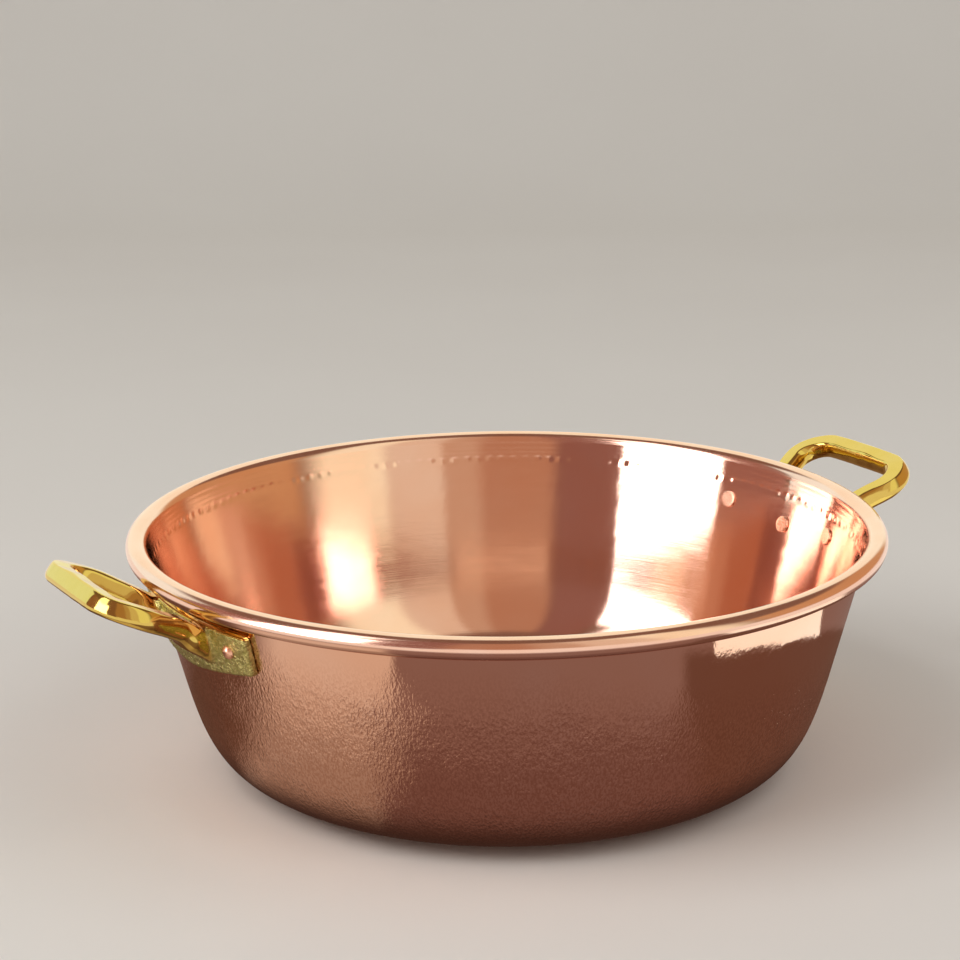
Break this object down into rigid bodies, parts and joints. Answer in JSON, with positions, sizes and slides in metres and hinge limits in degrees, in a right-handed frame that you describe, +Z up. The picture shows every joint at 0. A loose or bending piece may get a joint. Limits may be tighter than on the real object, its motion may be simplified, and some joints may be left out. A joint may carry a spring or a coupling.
{
  "type": "jam pan",
  "caption": "Wide round jam pan of hammered copper sheet, with leaning walls, a flat base, a wired rolled rim and cast brass loop handles riveted on opposite sides.",
  "frame": {"origin": "middle of the flat underside, on the surface the pan stands on", "axes": "+Z up out of the open top; the handles lie on the X axis, the right handle on +X and the left handle on -X"},
  "size_m": [0.4928, 0.3996, 0.1385],
  "materials": {
    "copper": "bare copper sheet, brushed inside, finely hammered outside, polished at the rim",
    "rivet_copper": "bare copper, satin",
    "brass": "polished on the grip, rough and tarnished on the plate",
    "steel_wire": "plain drawn wire, hidden in the rolled rim"
  },
  "bodies": {
    "root": {"pan_body": "copper", "rim_wire": "steel_wire", "handle_right": "brass", "handle_left": "brass", "rivet_right_front": "rivet_copper", "rivet_right_middle": "rivet_copper", "rivet_right_back": "rivet_copper", "rivet_left_front": "rivet_copper", "rivet_left_middle": "rivet_copper", "rivet_left_back": "rivet_copper"}
  },
  "joints": []
}
